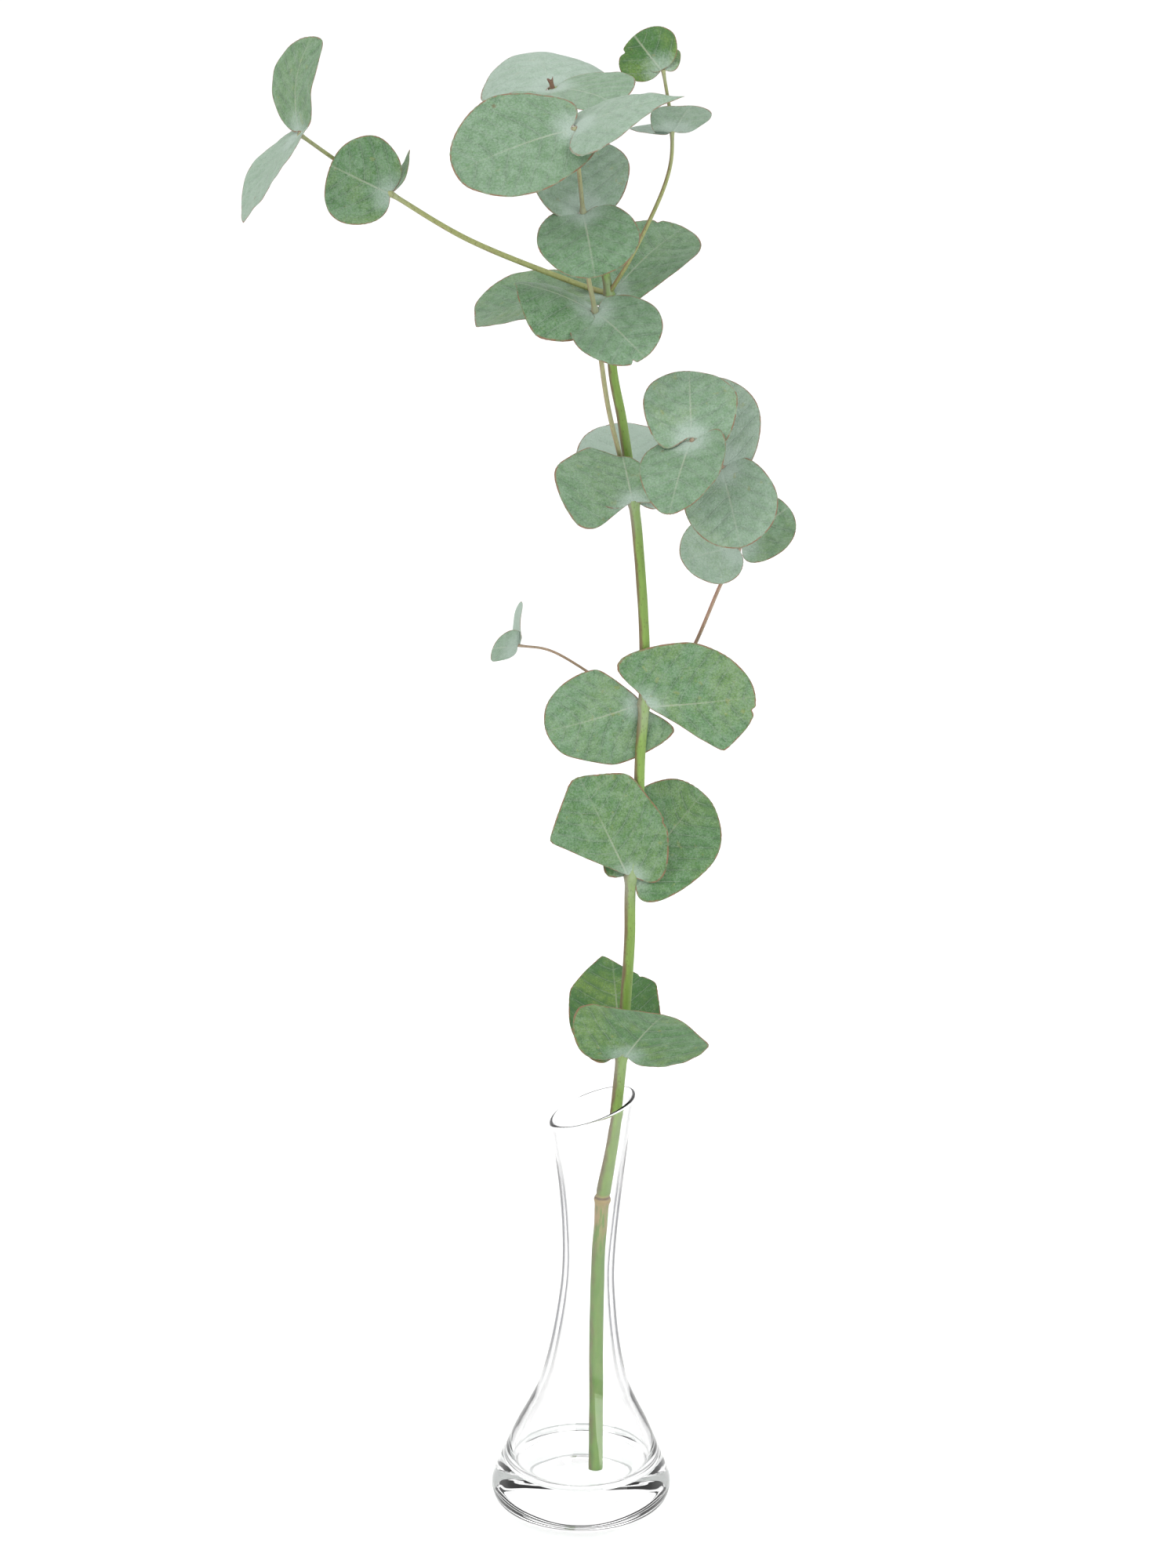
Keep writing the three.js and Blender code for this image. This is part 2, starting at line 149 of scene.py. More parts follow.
# Leaves: reach runs from the base to the tip, face is the way the upper side looks, wide is the width,
# and side is the side of the stem that the leaf sits on, where it is not the side it reaches to.
# lobes are the two ears beside the base, left and right as the upper side is looked at, tip up.
# What a leaf leaves out is as in PLAIN_LEAF.
LEAVES = {
    "first": {
        "front": {
            "reach": (12.5, -16, 20.5), "face": (0, 0.82, 0.58), "wide": 47, "egg": 0.1,
            "lobes": (0.16, 0.2), "cuts": ((34, 0.98),),
        },
        "back": {
            "reach": (-3, 31, 24.5), "face": (0, -0.62, 0.79), "wide": 35, "lobes": (0.14, 0.05),
            "cuts": ((-39, 0.6), (48, 0.72), (84, 0.78), (-88, 0.7)),
        },
    },
    "second": {
        "front": {
            "reach": (-16.5, -3, 36.5), "face": (-0.1, 0.96, -0.26), "wide": 39,
            "side": (-0.3, -1, 0), "arch": -0.04, "cup": -0.05, "lobes": (0.19, 0),
            "cuts": ((-45, 0.82), (22, 0.9), (80, 0.87), (-128, 0.57)),
        },
        "back": {
            "reach": (23, 27.5, 19.5), "face": (0.35, -0.72, 0.6), "wide": 34, "side": (0.6, 1, 0),
            "lobes": (0.2, 0.16),
        },
    },
    "third": {
        "left": {
            "reach": (-31, 0, -9.5), "face": (0.1, -0.99, -0.05), "wide": 34, "side": (-0.3, 1, 0),
            "egg": 0.14, "lobes": (0.34, 0.03), "spread": 0.85, "cuts": ((-148, 0.89), (60, 0.9)),
        },
        "right": {
            "reach": (35, -2, 4), "face": (0.05, -1, 0.01), "wide": 41, "side": (0.5, -1, 0),
            "egg": 0.22, "lobes": (0.33, 0), "spread": 0.85, "cuts": ((-54, 0.96), (-126, 0.58)),
        },
    },
    "fourth": {
        "front": {
            "reach": (-5, -16, 25.5), "face": (0, 0.86, 0.51), "wide": 45, "egg": 0.28,
            "lobes": (0.14, 0.36), "spread": 0.8, "cuts": ((38, 0.28),),
        },
        "back": {"reach": (-3, 31, 17.5), "face": (0, -0.49, 0.87), "wide": 34},
    },
    "fifth": {
        "left": {
            "reach": (-44, -0.5, -8.5), "face": (-0.05, -0.15, 0.99), "wide": 38, "cup": 0.15,
            "egg": -0.08, "cuts": ((0, 0.84),),
        },
        "right": {
            "reach": (22.5, 20, 16.5), "face": (-0.4, -0.58, 0.71), "wide": 33, "cup": 0.12,
            "egg": -0.12,
        },
    },
    "top": {
        "back": {
            "reach": (-6, 31.5, 5), "face": (-0.08, -0.21, 0.97), "wide": 40, "cup": -0.38,
            "lobes": (0.22, 0.2),
        },
        "right": {
            "reach": (18.5, -16.5, -1.5), "face": (-0.1, -0.07, 0.99), "wide": 38,
            "lobes": (0.12, 0.5), "spread": 0.55,
        },
    },
    "left_far": {
        "up": {
            "reach": (4, 8, 28.5), "face": (-0.87, -0.43, 0.24), "wide": 32, "sweep": 0.14,
            "egg": -0.15, "lobes": (0.02, 0),
        },
        "down": {
            "reach": (-16.5, -11.5, -25), "face": (-0.83, -0.15, 0.54), "wide": 35, "egg": 0.28,
            "lobes": (0.14, 0.14),
        },
    },
    "left_near": {
        "front": {
            "reach": (-18.5, -8, 11), "face": (-0.35, 0.94, -0.04), "wide": 29,
            "lobes": (0.08, 0.08),
        },
        "back": {
            "reach": (-1.5, 20.5, -1.5), "face": (-0.78, -0.01, 0.63), "wide": 27, "egg": -0.1,
        },
    },
    "upper_near": {
        "front": {"reach": (5.5, -12.5, 10.5), "face": (-0.1, 0.68, 0.73), "wide": 19},
        "back": {"reach": (-8.5, 13.5, -1), "face": (-0.05, -0.12, 0.99), "wide": 18},
    },
    "upper_tip": {
        "front": {
            "reach": (-8.5, -0.5, 11), "face": (-0.2, 0.98, 0), "wide": 20, "lobes": (0.06, 0.06),
        },
        "back": {"reach": (-2, 12, 4.5), "face": (0, -0.41, 0.91), "wide": 13},
    },
    "front_low": {
        "left": {
            "reach": (-22.5, 6.5, 7), "face": (0, -0.2, 0.98), "wide": 28, "cup": -0.55,
            "egg": 0.25, "point": 0.06, "lobes": (0.18, 0.18),
        },
        "right": {
            "reach": (14.5, -18, -10), "face": (-0.1, -0.54, 0.84), "wide": 28,
            "lobes": (0.18, 0.18),
        },
    },
    "front_middle": {
        "back": {
            "reach": (-2, 21.5, 18), "face": (0, -0.63, 0.77), "wide": 30, "lobes": (0.14, 0.1),
        },
        "front": {"reach": (3.5, -23.5, -14.5), "face": (-0.05, -0.48, 0.87), "wide": 31},
    },
    "front_top": {
        "left": {
            "reach": (-35, -12, -11), "face": (0.2, -0.65, 0.74), "wide": 35, "lobes": (0.16, 0.16),
        },
        "right": {
            "reach": (26.5, -1.5, 9), "face": (-0.25, -0.15, 0.96), "wide": 36, "cup": -0.12,
            "egg": 0.6, "point": 0.2, "lobes": (0.16, 0.14),
        },
    },
    "sprig": {
        "up": {
            "reach": (1, 4, 13), "face": (-0.94, -0.27, 0.2), "wide": 9, "egg": 0.2,
            "lobes": (0.03, 0.03),
        },
        "down": {
            "reach": (-8, -8.5, 1.5), "face": (-0.61, 0.67, 0.42), "wide": 13,
            "lobes": (0.08, 0.08),
        },
    },
    "right_low": {
        "left": {
            "reach": (-17.5, -9, -2), "face": (0.25, -0.75, 0.61), "wide": 22,
            "lobes": (0.05, 0.02),
        },
        "right": {"reach": (15, 3.5, 11.5), "face": (-0.2, -0.82, 0.53), "wide": 22},
    },
    "right_middle": {
        "down": {"reach": (5.5, -17, -20.5), "face": (0, -0.77, 0.64), "wide": 29},
        "up": {"reach": (-4, 16, 24), "face": (0, -0.83, 0.56), "wide": 28},
    },
    "right_top": {
        "up": {
            "reach": (-0.5, 20, 16), "face": (0, -0.62, 0.78), "wide": 29, "lobes": (0.24, 0.2),
            "spread": 0.8,
        },
        "down": {
            "reach": (-7, -21.5, -17.5), "face": (-0.25, -0.63, 0.73), "wide": 25, "egg": 0.3,
            "lobes": (0.24, 0.05),
        },
    },
}
PLAIN_LEAF = {
    "lobes": (0.14, 0.14),  # how far each ear reaches back past the base, in leaf lengths
    "spread": 0.6,  # where the ears are: from 0.5, close to the base, to 1, halfway to the sides
    "ears": 2.2,  # width of the slot between the ears, where the stem stands
    "egg": 0.05,  # above 0 the leaf is widest nearer its base
    "point": 0,  # a drawn-out tip, in leaf lengths
    "sweep": 0,  # sideways bow of the midrib, in leaf lengths
    "arch": 0.05,  # bulge along the midrib towards the upper side
    "cup": 0.08,  # lift of the two sides
    "wave": 0.03,  # rise and fall of the margin
    "cuts": (),  # torn or bitten edges, as (angle from the tip in degrees, distance from the middle)
}
# How each leaf looks: its wax bloom, its warmth and its depth of green. A bloom over 1 is thick all over.
# The bloom is partly real wax and partly painted light: it is raised on leaves that lie in shade, such as
# fourth_back, right_middle_up and front_middle_back, to paint them paler.
LOOKS = {
    "first_front": (0.1, 0.55, 0.25), "first_back": (0, 0.7, 0.9),
    "second_front": (0.2, 0.3, 0.3), "second_back": (0.12, 0.35, 0.3),
    "third_left": (0.3, 0.4, 0.05), "third_right": (0.23, 0.45, 0.1),
    "fourth_front": (0.34, 0.2, 0.1), "fourth_back": (1.6, 0, 0),
    "fifth_left": (0.3, 0.4, 0.1), "fifth_right": (0.29, 0.2, 0.15),
    "top_back": (0.95, 0, 0), "top_right": (0.5, 0, 0.1),
    "left_far_up": (0.26, 0.2, 0.15), "left_far_down": (0.8, 0, 0),
    "left_near_front": (0.22, 0.4, 0.2), "left_near_back": (0.1, 0.3, 0.5),
    "upper_near_front": (0.7, 0.15, 0), "upper_near_back": (1, 0, 0),
    "upper_tip_front": (0, 0.6, 0.8), "upper_tip_back": (0, 0.5, 0.5),
    "front_low_left": (0.26, 0, 0.4), "front_low_right": (0.38, 0, 0.1),
    "front_middle_back": (0.7, 0.3, 0), "front_middle_front": (0.32, 0, 0.15),
    "front_top_left": (0.4, 0, 0.35), "front_top_right": (0.75, 0, 0),
    "sprig_up": (1.3, 0, 0), "sprig_down": (0.65, 0, 0.1),
    "right_low_left": (0.8, 0.5, 0), "right_low_right": (0.38, 0.4, 0),
    "right_middle_down": (0.62, 0.45, 0), "right_middle_up": (0.84, 0.5, 0),
    "right_top_up": (0.48, 0.45, 0), "right_top_down": (0.42, 0, 0.2),
}
# Bites out of the margin: angle from the tip in radians, depth as a share of the way out from the middle,
# and width in radians
BITES = {
    "upper_tip_front": (-0.72, 0.14, 0.1), "front_low_right": (-0.26, 0.1, 0.045),
    "fifth_right": (0.5, 0.07, 0.06), "third_right": (-0.3, 0.06, 0.05),
    "second_front": (1.9, 0.04, 0.05), "first_back": (-0.9, 0.05, 0.05),
}
# Leaf surface, in mm where nothing else is said
LEAF_THICK = 0.42
LEAF_ANGLES = 208  # corners round the outline
LEAF_RINGS = 26  # from the middle to the margin
CROWDING = 0.75  # how much the corners gather at the tip and the base
CUT_SHARPNESS = 26  # power that sets how sharp the corners of a torn edge are
MARGIN_TEETH = 52  # fine teeth round the margin
TOOTH_DEPTH = 0.006  # share of the way out from the middle
MARGIN_DRIFT = 0.011  # share of the way out from the middle
MIDRIB_GROOVE = 0.14
MIDRIB_KEEL = 0.3
MIDRIB_WIDTH = 0.42
VEIN_STEP = 5.2  # mm from side vein to side vein
PLEAT = 0.18  # depth of the furrows over the side veins
FULL_PLEAT_LENGTH = 30  # shorter leaves have shallower furrows
POLE_SINK = 0.1  # how far the middle of each skin dips
EARS_PER_RADIUS = 0.55  # slot between the ears: this share of the stem's radius,
EARS_SPARE = 0.2  # and so much more
LEAF_CLEARANCE = 0.05  # from the stem's skin to the leaf's base
SEED_STEP = 7  # between the ripples' seeds of one leaf and the next

# Paints: how they show in the studio's light, as red, green and blue from 0 to 255
PAINT = 0.575  # share of its display colour, in linear light, that a paint has in its shader
FRESH_GREEN = (112, 165, 102)
DEEP_GREEN = (72, 126, 44)
WARM_GREEN = (144, 178, 78)
CLOUD_GREEN = (78, 130, 74)
MOTTLE_GREEN = (76, 114, 72)
PAINTED_FURROW_SHADE = (72, 116, 70)
# Painted shade in a band next to each side vein, on the slopes of its furrow
VEIN = (176, 196, 168)
NET = (72, 114, 68)
MIDRIB = (196, 206, 176)
WAX = (194, 216, 200)
FLECK = (176, 176, 92)
RUST = (128, 92, 58)
MARGIN = (162, 112, 84)
STEM_WAX = (196, 208, 188)
SAPPY_GREEN = (100, 156, 46)
CORK = (196, 164, 104)
DRIED = (204, 170, 122)
SCAR_LINE = (104, 68, 44)
# Barks: skin, blush, share of blush, share of wax, and the height of a leaf scar
BARKS = {
    "main stem bark": ((152, 190, 88), (126, 74, 64), 0.75, 0.5, SCAR_HEIGHT),
    "tan twig bark": ((190, 190, 136), (176, 132, 106), 0.5, 0.5),
    "pink twig bark": ((196, 166, 138), (170, 112, 94), 0.6, 0.3),
    "green twig bark": ((184, 190, 122), (160, 108, 84), 0.6, 0.4),
    "dry stub bark": ((160, 122, 100), (96, 62, 48), 0.6, 0.1),
}

# Studio: lamps as spot and size in mm and power in watts, from the left, the right and above
LAMP_TARGET = (0, 0, 300)
LAMPS = {
    "left_lamp": ((-1100, -1700, 1500), 1400, 20),
    "right_lamp": ((1500, -1400, 1100), 1400, 13),
    "top_lamp": ((200, 500, 2400), 1600, 8),
}
SKY_LOW = 1.0
SKY_HIGH = 1.07
FLOOR_REACH = 12  # metres from the middle to each side
FLOOR_TONES = (0.937, 0.943)


# ---------------------------------------------------------------- numbers and curves

def smoothstep(x, low, high):
    """0 below low, 1 above high, and 3s^2 - 2s^3 of the share s between them."""
    s = np.clip((np.asarray(x, float) - low) / (high - low), 0, 1)
    return s * s * (3 - 2 * s)


def bell(gap, width):
    """1 where the gap is 0, falling off as e to the power of minus the square of gap over width."""
    return np.exp(-((gap / width) ** 2))


def unit(v):
    """The vectors, each divided by its length."""
    v = np.asarray(v, float)
    return v / np.linalg.norm(v, axis=-1, keepdims=True)


def through(points, shares):
    """Catmull-Rom curve: each stretch is a cubic that passes through its two ends, and its slope at a
    point is half the step from the point before to the point after."""
    points = np.asarray(points, float)
    padded = np.vstack([2 * points[0] - points[1], points, 2 * points[-1] - points[-2]])
    place = np.clip(shares, 0, 1) * (len(points) - 1)
    first = np.minimum(place.astype(int), len(points) - 2)
    t = (place - first)[:, None]
    a, b, c, d = (padded[first + k] for k in range(4))
    return 0.5 * (
        2 * b + (c - a) * t + (2 * a - 5 * b + 4 * c - d) * t**2 + (3 * b - a - 3 * c + d) * t**3
    )


def ripples(u, v, size, seed, count=5):
    """A soft random field: the mean of sine waves, each about size long, that cross (u, v) in seeded
    directions."""
    rng = np.random.default_rng(seed)
    total = np.zeros(np.broadcast(u, v).shape)
    for _ in range(count):
        facing = rng.uniform(0, 2 * np.pi)
        length = size * rng.uniform(0.7, 1.5)
        travelled = u * np.cos(facing) + v * np.sin(facing)
        total += np.sin(2 * np.pi * travelled / length + rng.uniform(0, 6.28))
    return total / count


def round_turn(sides):
    """The angles of that many even steps round a full turn."""
    return np.linspace(0, 2 * np.pi, sides, endpoint=False)


# ---------------------------------------------------------------- meshes

def ring_faces(rows, columns):
    """Quads between the rings of a grid, and the fans that close its first and last ring on a pole."""
    row, column = np.meshgrid(np.arange(rows - 1), np.arange(columns), indexing="ij")
    low, high = row * columns, (row + 1) * columns
    after = (column + 1) % columns
    quads = np.stack([low + column, low + after, high + after, high + column], -1).reshape(-1, 4)
    ring = np.arange(columns)
    onward = (ring + 1) % columns
    start, end = np.full(columns, rows * columns), np.full(columns, rows * columns + 1)
    last = (rows - 1) * columns
    fans = np.vstack([np.stack([start, onward, ring], 1), np.stack([end, last + ring, last + onward], 1)])
    return quads, fans


def volume(points, quads, fans):
    """Signed volume: a sixth of the summed triple products of the triangles' corners."""
    triangles = np.vstack([quads[:, [0, 1, 2]], quads[:, [0, 2, 3]], fans])
    a, b, c = (points[triangles[:, k]] for k in range(3))
    return np.einsum("ij,ij->", a, np.cross(b, c)) / 6


def add_object(name, data):
    """A new object in the scene, at the origin."""
    made = bpy.data.objects.new(name, data)
    bpy.context.scene.collection.objects.link(made)
    return made


def add_shell(name, rings, poles, values=None):
    """A closed mesh from rings of points and a pole at each end, its faces turned outwards.
    values holds vertex attributes by name, as (rings' values, poles' values)."""
    rows, columns = rings.shape[:2]
    points = np.vstack([rings.reshape(-1, 3), np.asarray(poles, float)])
    quads, fans = ring_faces(rows, columns)
    if volume(points, quads, fans) < 0:
        quads, fans = quads[:, ::-1], fans[:, ::-1]
    mesh = bpy.data.meshes.new(name)
    corners = np.concatenate([quads.ravel(), fans.ravel()]).astype(np.int32)
    starts = np.concatenate([np.arange(len(quads)) * 4, len(quads) * 4 + np.arange(len(fans)) * 3])
    mesh.vertices.add(len(points))
    mesh.vertices.foreach_set("co", (points * MM).astype(np.float32).ravel())
    mesh.loops.add(len(corners))
    mesh.loops.foreach_set("vertex_index", corners)
    mesh.polygons.add(len(starts))
    mesh.polygons.foreach_set("loop_start", starts.astype(np.int32))
    mesh.update(calc_edges=True)
    mesh.validate()
    mesh.shade_smooth()
    for key, (on_rings, on_poles) in (values or {}).items():
        field = np.vstack([on_rings.reshape(-1, 3), np.asarray(on_poles, float)])
        made = mesh.attributes.new(key, "FLOAT_VECTOR", "POINT")
        made.data.foreach_set("vector", field.astype(np.float32).ravel())
    return add_object(name, mesh)


def belongs(piece, material, node=None):
    """Gives a piece its material and its body, and hides the CAD node that it stands for."""
    piece.data.materials.append(material)
    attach(piece, BODY)
    if node:
        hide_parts(node)


# ---------------------------------------------------------------- node trees

def place(tree, kind, props=None, sockets=None):
    """Adds a node, sets its properties, and gives each named socket a value or a link."""
    node = tree.nodes.new("ShaderNode" + kind)
    for key, value in (props or {}).items():
        setattr(node, key, value)
    for key, value in (sockets or {}).items():
        if isinstance(value, bpy.types.NodeSocket):
            tree.links.new(value, node.inputs[key])
        else:
            node.inputs[key].default_value = value
    return node


def new_material(name):
    """An empty node material with its output and its main shader."""
    material = bpy.data.materials.new(name)
    material.use_nodes = True
    tree = material.node_tree
    tree.nodes.clear()
    output = place(tree, "OutputMaterial")
    shader = place(tree, "BsdfPrincipled")
    tree.links.new(shader.outputs[0], output.inputs["Surface"])
    return material, tree, shader


def finish_of(shader, **settings):
    """Sets the shader's own sockets, by their names in lower case with underscores."""
    sockets = {socket.name.lower().replace(" ", "_"): socket for socket in shader.inputs}
    for key, value in settings.items():
        sockets[key].default_value = value


def colour(shown):
    """The shader colour of a paint that shows as this display colour, from 0 to 255, in the studio's
    light: the display curve undone, times PAINT."""
    shown = np.array(shown) / 255
    linear = np.where(shown <= 0.04045, shown / 12.92, ((shown + 0.055) / 1.055) ** 2.4)
    return (*(linear * PAINT).tolist(), 1)


def darker(paint, share):
    """A shader colour times a share."""
    return (*(share * part for part in paint[:3]), 1)


def reckon(tree, operation, a, b=0.0, clamp=False):
    """One sum on two numbers."""
    return place(tree, "Math", {"operation": operation, "use_clamp": clamp}, {0: a, 1: b}).outputs[0]


def times(tree, a, b):
    """a times b."""
    return reckon(tree, "MULTIPLY", a, b)


def plus(tree, a, b):
    """a plus b."""
    return reckon(tree, "ADD", a, b)


def minus(tree, a, b):
    """a minus b."""
    return reckon(tree, "SUBTRACT", a, b)


def between(tree, value, low, high, start=0.0, end=1.0):
    """start below low, end above high, and a smooth step between them."""
    node = place(tree, "MapRange", {"interpolation_type": "SMOOTHSTEP"},
                 {"Value": value, "From Min": low, "From Max": high, "To Min": start, "To Max": end})
    return node.outputs["Result"]


def blend_colours(tree, share, a, b):
    """Colour a, turned into b by share."""
    node = place(tree, "Mix", {"data_type": "RGBA", "clamp_factor": True}, {0: share, 6: a, 7: b})
    return node.outputs[2]


def noise(tree, where, scale, detail=3.0, roughness=0.5, distortion=0.0):
    """Soft random patches from 0 to 1, whose size is 1 over scale in the units of where."""
    node = place(tree, "TexNoise", {}, {"Vector": where, "Scale": scale, "Detail": detail,
                                        "Roughness": roughness, "Distortion": distortion})
    return node.outputs["Fac"]


def cells(tree, where, scale, feature="F1", randomness=1.0):
    """Random cells: distance to the cell's own point (F1) or to its wall (DISTANCE_TO_EDGE)."""
    return place(tree, "TexVoronoi", {"feature": feature},
                 {"Vector": where, "Scale": scale, "Randomness": randomness})


def split(tree, vector):
    """The three parts of a vector."""
    return list(place(tree, "SeparateXYZ", {}, {0: vector}).outputs)


def scaled(tree, vector, scale):
    """The vector times a vector, axis by axis."""
    return place(tree, "VectorMath", {"operation": "MULTIPLY"}, {0: vector, 1: scale}).outputs[0]


def attribute(tree, name):
    """The value of a vertex attribute."""
    return place(tree, "Attribute", {"attribute_name": name}).outputs["Vector"]


def here(tree):
    """The place on the object, in metres."""
    return place(tree, "TexCoord").outputs["Object"]


def emboss(tree, shader, height, strength, distance):
    """Bump: the surface is lit as if each unit of height were distance, in metres, times strength."""
    bump = place(tree, "Bump", {}, {"Height": height, "Strength": strength, "Distance": distance})
    tree.links.new(bump.outputs[0], shader.inputs["Normal"])


# ---------------------------------------------------------------- leaf skin

def leaf_green(tree, spot, warmth, depth, clouds, mottle):
    """Green that deepens with depth and turns yellower in wide patches, duller in clouds and a mottle."""
    patches = noise(tree, spot, 70, 4, 0.6)
    body = blend_colours(tree, depth, colour(FRESH_GREEN), colour(DEEP_GREEN))
    body = blend_colours(tree, times(tree, warmth, between(tree, patches, 0.42, 0.62)), body,
                         colour(WARM_GREEN))
    body = blend_colours(tree, between(tree, clouds, 0.36, 0.66, 0, 0.24), body, colour(CLOUD_GREEN))
    return blend_colours(tree, between(tree, mottle, 0.44, 0.66, 0, 0.36), body, colour(MOTTLE_GREEN))


def leaf_veins(tree, body, blade, veins, clouds, mottle):
    """Veins over the body colour: pale lines where the vein order is a whole number of vein steps, with
    painted shade in a band next to them, on the slopes of the furrows over the side veins, paler threads
    between, a dull net of cells, and the midrib, which fades towards the tip. Gives the colour, the side
    veins and the net."""
    along, _, ring = split(tree, blade)
    order, aside, _ = split(tree, veins)
    comb = reckon(tree, "PINGPONG", order, 0.5 * VEIN_STEP)
    side_veins = times(tree, between(tree, comb, 0, 0.26, 1, 0), between(tree, ring, 0.8, 0.95, 1, 0))
    threads = reckon(tree, "PINGPONG", times(tree, order, 2.7), 0.5 * VEIN_STEP)
    threads = times(tree, between(tree, threads, 0, 0.4, 1, 0), between(tree, mottle, 0.4, 0.55))
    walls = cells(tree, scaled(tree, blade, (1, 1.35, 0)), 0.8, "DISTANCE_TO_EDGE", 0.95).outputs[0]
    net = between(tree, walls, 0, 0.12, 1, 0)
    fading = between(tree, along, 4, 32, 1, 0.25)
    midrib = times(tree, between(tree, aside, 0.08, 0.45, 1, 0), fading)
    # Painted shade: a darker band next to each side vein
    beside = times(tree, between(tree, comb, 0.2, 1.7, 0.55, 0), between(tree, clouds, 0.42, 0.56))

    body = blend_colours(tree, beside, body, colour(PAINTED_FURROW_SHADE))
    body = blend_colours(tree, times(tree, side_veins, 0.42), body, colour(VEIN))
    body = blend_colours(tree, times(tree, threads, 0.16), body, colour(VEIN))
    body = blend_colours(tree, times(tree, net, 0.34), body, colour(NET))
    body = blend_colours(tree, times(tree, midrib, 0.72), body, colour(MIDRIB))
    return body, side_veins, net


def wax_and_painted_light(tree, bloom_and_painted_light, from_base, clouds, specks):
    """Share of pale wax, which is partly painted light: the leaf's own wax coat, which is raised on shaded
    leaves to paint them paler, thicker near the base, cloudy, and rubbed thin in specks.
    """
    near_base = between(tree, from_base, 0.5, 9, 0.75, 0)
    cloudy = between(tree, clouds, 0.36, 0.62, 0.07, -0.09)
    rubbed = between(tree, specks, 0.42, 0.6, 0.07, -0.13)
    wax = plus(tree, plus(tree, bloom_and_painted_light, near_base), plus(tree, cloudy, rubbed))
    return reckon(tree, "MULTIPLY", wax, 0.94, True)


def blemishes(tree, body, spot, warmth):
    """Yellowish flecks, more on warm leaves, and a rust spot in one random cell out of ten."""
    flecks = between(tree, noise(tree, spot, 330, 2), 0.66, 0.74, 0, 0.45)
    body = blend_colours(tree, times(tree, flecks, plus(tree, warmth, 0.25)), body, colour(FLECK))
    pits = cells(tree, spot, 120)
    rare = between(tree, split(tree, pits.outputs["Color"])[0], 0.9, 0.92)
    rust = times(tree, between(tree, pits.outputs["Distance"], 0.05, 0.12, 0.55, 0), rare)
    return blend_colours(tree, rust, body, colour(RUST))


def leaf_margin(tree, body, spot, ring):
    """A thin pinkish-brown margin, stronger in some places than in others."""
    rim = between(tree, ring, 0.966, 0.986, 0, 0.85)
    broken = between(tree, noise(tree, spot, 420, 2), 0.35, 0.6, 0.2, 1)
    return blend_colours(tree, times(tree, rim, broken), body, colour(MARGIN))


def leaf_skin():
    """Waxy grey-green skin. The attribute 'blade' holds mm from the base, mm from the midrib and the share
    of the way to the margin; 'veins' holds the vein order and the mm from the midrib and from the base;
    'look' holds the wax coat, warmth and depth of green. The wax coat is partly painted light: it is raised
    on leaves that lie in shade to paint them paler. Painted shade lies in a band next to each side vein."""
    material, tree, shader = new_material("waxy leaf skin")
    spot = here(tree)
    blade = attribute(tree, "blade")
    veins = attribute(tree, "veins")
    bloom_and_painted_light, warmth, depth = split(tree, attribute(tree, "look"))
    clouds = noise(tree, spot, 300, 4, 0.6)
    mottle = noise(tree, scaled(tree, blade, (1, 1.4, 0)), 1, 5, 0.7, 0.4)
    specks = noise(tree, spot, 1700, 3, 0.6)

    body = leaf_green(tree, spot, warmth, depth, clouds, mottle)
    body, side_veins, net = leaf_veins(tree, body, blade, veins, clouds, mottle)
    wax = wax_and_painted_light(tree, bloom_and_painted_light, split(tree, veins)[2], clouds, specks)
    # Pale wax, partly painted light where the wax coat was raised on shaded leaves
    body = blend_colours(tree, wax, body, colour(WAX))
    body = blemishes(tree, body, spot, warmth)
    body = leaf_margin(tree, body, spot, split(tree, blade)[2])
    tree.links.new(body, shader.inputs["Base Color"])

    tree.links.new(between(tree, wax, 0, 1, 0.5, 0.72), shader.inputs["Roughness"])
    finish_of(shader, specular_ior_level=0.35, sheen_weight=0.08, sheen_roughness=0.45)
    relief = plus(tree, times(tree, side_veins, -0.6), times(tree, net, -0.4))
    relief = plus(tree, relief, times(tree, specks, 0.5))
    relief = plus(tree, relief, plus(tree, clouds, times(tree, mottle, 0.7)))
    emboss(tree, shader, relief, 0.8, 0.00022)
    return material


# ---------------------------------------------------------------- bark

def leaf_scar(tree, body, spot, streaks, scar):
    """Greener skin below the old leaf scar at height scar, dried tan streaks just under it, and on it a
    corky ring with a dark line."""
    height = split(tree, spot)[2]
    fresher = times(tree, between(tree, height, 0.1, 0.125, 0.85, 0),
                    between(tree, streaks, 0.35, 0.6, 1, 0.35))
    body = blend_colours(tree, fresher, body, colour(SAPPY_GREEN))
    above = minus(tree, height, scar * MM)
    corky = between(tree, reckon(tree, "ABSOLUTE", above), 0.0008, 0.0026, 0.85, 0)
    body = blend_colours(tree, corky, body, colour(CORK))
    dried = times(tree, between(tree, above, -0.022, -0.004), between(tree, above, -0.001, 0, 1, 0))
    dried = times(tree, dried, between(tree, streaks, 0.44, 0.56, 0.1, 0.8))
    body = blend_colours(tree, dried, body, colour(DRIED))
    from_line = reckon(tree, "ABSOLUTE", minus(tree, above, 0.0009))
    line = between(tree, from_line, 0.0001, 0.0006, 0.8, 0)
    return blend_colours(tree, line, body, colour(SCAR_LINE))


